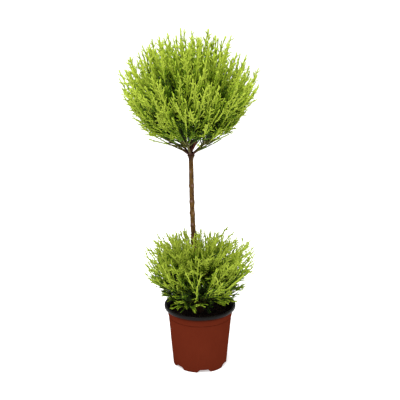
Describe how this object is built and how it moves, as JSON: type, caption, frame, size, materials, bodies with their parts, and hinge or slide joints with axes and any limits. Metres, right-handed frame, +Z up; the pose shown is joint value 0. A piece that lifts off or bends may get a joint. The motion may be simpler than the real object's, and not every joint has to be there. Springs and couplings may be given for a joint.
{
  "type": "potted lemon cypress topiary",
  "caption": "Potted lemon cypress trained as a ball of feathery upright shoots on a slim bare stem, over a low bushy skirt, in a round tapered nursery pot.",
  "frame": {"origin": "centre of the flat underside of the pot", "axes": "+Z up along the stem; the side seen in the picture faces -Y"},
  "size_m": [0.2477, 0.2448, 0.6573],
  "materials": {
    "pot": "satin",
    "soil": "matte",
    "bark": "matte",
    "foliage": "matte"
  },
  "bodies": {
    "root": {"bush_high_1_foliage": "foliage", "bush_high_2_foliage": "foliage", "bush_high_3_foliage": "foliage", "bush_high_bough_1": "bark", "bush_high_bough_2": "bark", "bush_high_bough_3": "bark", "bush_low_1_foliage": "foliage", "bush_low_2_foliage": "foliage", "bush_low_3_foliage": "foliage", "bush_low_4_foliage": "foliage", "bush_low_5_foliage": "foliage", "bush_low_6_foliage": "foliage", "bush_low_7_foliage": "foliage", "bush_low_bough_1": "bark", "bush_low_bough_2": "bark", "bush_low_bough_3": "bark", "bush_low_bough_4": "bark", "bush_low_bough_5": "bark", "bush_low_bough_6": "bark", "bush_low_bough_7": "bark", "crown_high_1_foliage": "foliage", "crown_high_2_foliage": "foliage", "crown_high_3_foliage": "foliage", "crown_high_4_foliage": "foliage", "crown_high_bough_1": "bark", "crown_high_bough_2": "bark", "crown_high_bough_3": "bark", "crown_high_bough_4": "bark", "crown_low_1_foliage": "foliage", "crown_low_2_foliage": "foliage", "crown_low_3_foliage": "foliage", "crown_low_4_foliage": "foliage", "crown_low_5_foliage": "foliage", "crown_low_6_foliage": "foliage", "crown_low_bough_1": "bark", "crown_low_bough_2": "bark", "crown_low_bough_3": "bark", "crown_low_bough_4": "bark", "crown_low_bough_5": "bark", "crown_low_bough_6": "bark", "crown_top_foliage": "foliage", "pot": "pot", "soil": "soil", "trunk": "bark"}
  },
  "joints": []
}
